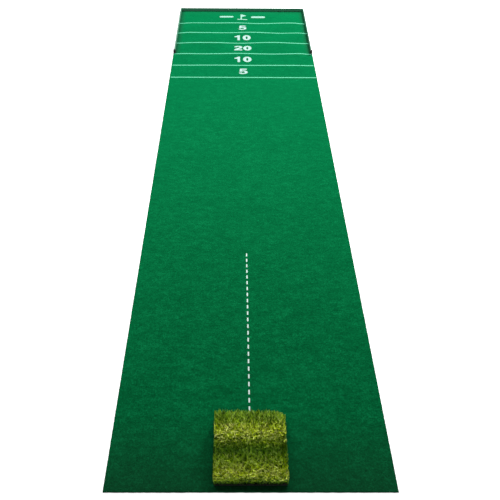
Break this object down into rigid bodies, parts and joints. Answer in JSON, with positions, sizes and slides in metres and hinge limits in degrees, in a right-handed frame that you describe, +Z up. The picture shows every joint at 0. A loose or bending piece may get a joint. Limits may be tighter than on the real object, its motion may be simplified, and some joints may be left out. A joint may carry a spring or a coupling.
{
  "type": "practice putting mat",
  "caption": "Long felt putting mat with scoring zones, a dashed aim line, a three-sided ball-stop barrier at the far end and a loose turf chipping pad at the near end.",
  "frame": {"origin": "on the floor under the middle of the mat, at the bottom centre of the whole object's box", "axes": "+Z up; +Y along the mat from the player's end, with the chipping pad, to the scoring end, with the barrier; +X to the player's right"},
  "size_m": [0.762, 3.048, 0.0498],
  "materials": {
    "rubber": "matte textured rubber sheet",
    "felt": "needle-punched green felt",
    "flock": "white flocked marking",
    "rail": "dark green satin plastic",
    "post": "black moulded plastic",
    "hook_tape": "woven black hook tape",
    "pad_rubber": "matte latex-coated rubber",
    "pad_cloth": "woven tufting cloth",
    "turf": "yellow-green synthetic grass pile"
  },
  "bodies": {
    "mat": {"rubber_backing": "rubber", "putting_surface": "felt", "score_line_1": "flock", "score_line_2": "flock", "score_line_3": "flock", "score_line_4": "flock", "score_line_5": "flock", "score_line_6": "flock", "numeral_5_far": "flock", "numeral_10_far_digit_1": "flock", "numeral_10_far_digit_0": "flock", "numeral_20_digit_2": "flock", "numeral_20_digit_0": "flock", "numeral_10_near_digit_1": "flock", "numeral_10_near_digit_0": "flock", "numeral_5_near": "flock", "emblem_flag": "flock", "emblem_bar_left": "flock", "emblem_bar_right": "flock", "aim_dash_01": "flock", "aim_dash_02": "flock", "aim_dash_03": "flock", "aim_dash_04": "flock", "aim_dash_05": "flock", "aim_dash_06": "flock", "aim_dash_07": "flock", "aim_dash_08": "flock", "aim_dash_09": "flock", "aim_dash_10": "flock", "aim_dash_11": "flock", "aim_dash_12": "flock", "aim_dash_13": "flock", "aim_dash_14": "flock", "aim_dash_15": "flock", "aim_dash_16": "flock", "aim_dash_17": "flock", "aim_dash_18": "flock", "aim_dash_19": "flock", "aim_dash_20": "flock", "aim_dash_21": "flock", "aim_dash_22": "flock", "aim_dash_23": "flock", "aim_dash_24": "flock"},
    "barrier": {"back_rail": "rail", "left_rail": "rail", "right_rail": "rail", "back_hook_tape": "hook_tape", "left_hook_tape": "hook_tape", "right_hook_tape": "hook_tape", "left_corner_bracket": "rail", "right_corner_bracket": "rail", "left_end_post": "post", "right_end_post": "post"},
    "chipping_pad": {"pad_rubber_backing": "pad_rubber", "pad_tufting_cloth": "pad_cloth", "pad_turf_pile": "turf"}
  },
  "joints": [
    {"name": "barrier_lift", "type": "slide", "parent": "mat", "child": "barrier", "axis": [0, 0, 1], "range_m": [0, 0.1]},
    {"name": "pad_lift", "type": "slide", "parent": "mat", "child": "chipping_pad", "axis": [0, 0, 1], "range_m": [0, 0.15]}
  ]
}
